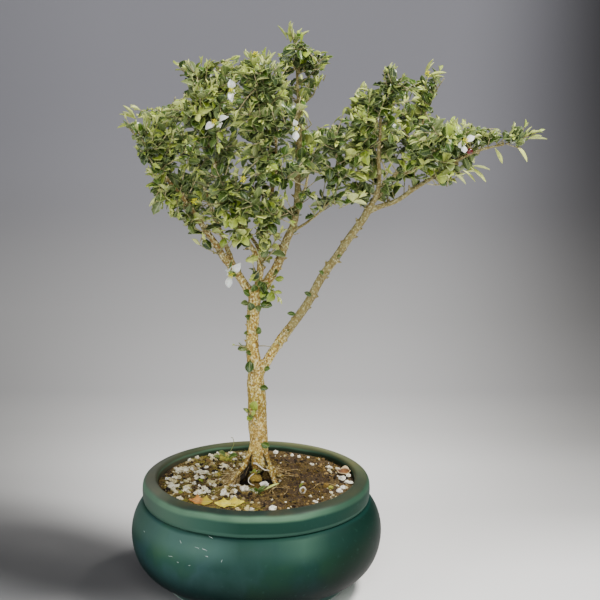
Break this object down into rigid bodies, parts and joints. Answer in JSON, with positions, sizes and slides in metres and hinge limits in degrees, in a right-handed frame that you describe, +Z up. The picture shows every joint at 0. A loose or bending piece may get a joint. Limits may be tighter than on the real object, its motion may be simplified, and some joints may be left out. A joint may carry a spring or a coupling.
{
  "type": "dwarf holly bonsai",
  "caption": "Dwarf holly bonsai in flower: pale trunk, long right limb, small spiny leaves, white blooms, in a round teal-glazed pot of mossy soil",
  "frame": {"origin": "Centre of the underside of the pot's foot, on the surface that the pot stands on", "axes": "+Z up, -Y towards the viewer of the front, +X to the right, the way the long limb reaches"},
  "size_m": [0.2875, 0.18, 0.4048],
  "materials": {
    "glaze": "gloss",
    "soil": "matte",
    "bark": "matte",
    "leaf": "satin",
    "petal": "matte",
    "eye": "matte",
    "dead_leaf": "matte"
  },
  "bodies": {
    "root": {"bloom_high_eye": "eye", "bloom_high_petals": "petal", "bloom_left_eye": "eye", "bloom_left_petals": "petal", "bloom_low_eye": "eye", "bloom_low_petals": "petal", "bloom_middle_eye": "eye", "bloom_middle_petals": "petal", "bloom_right_eye": "eye", "bloom_right_petals": "petal", "eye_inner": "eye", "eye_left": "eye", "eye_limb": "eye", "eye_slant": "eye", "eye_top": "eye", "fallen_leaf_brown": "dead_leaf", "fallen_leaf_yellow": "dead_leaf", "pot": "glaze", "shoot_trunk_high": "leaf", "shoot_trunk_low": "leaf", "soil": "soil", "spray_back_low": "leaf", "spray_back_tip": "leaf", "spray_crown_back": "leaf", "spray_crown_front": "leaf", "spray_crown_left": "leaf", "spray_crown_rear": "leaf", "spray_fore_tip": "leaf", "spray_front_left": "leaf", "spray_front_low": "leaf", "spray_front_right": "leaf", "spray_front_side": "leaf", "spray_front_top": "leaf", "spray_hub": "leaf", "spray_left_back": "leaf", "spray_left_edge": "leaf", "spray_left_inner": "leaf", "spray_left_low": "leaf", "spray_left_tip": "leaf", "spray_left_top": "leaf", "spray_left_under": "leaf", "spray_long_back": "leaf", "spray_long_low": "leaf", "spray_long_tip": "leaf", "spray_long_top": "leaf", "spray_mid_front": "leaf", "spray_mid_low": "leaf", "spray_rear_low": "leaf", "spray_rear_right": "leaf", "spray_rear_tip": "leaf", "spray_right_back": "leaf", "spray_right_edge": "leaf", "spray_slant_back": "leaf", "spray_slant_tip": "leaf", "spray_top": "leaf", "spray_top_right": "leaf", "spray_up_front": "leaf", "spray_up_left": "leaf", "spray_up_tip": "leaf", "wood": "bark"}
  },
  "joints": []
}
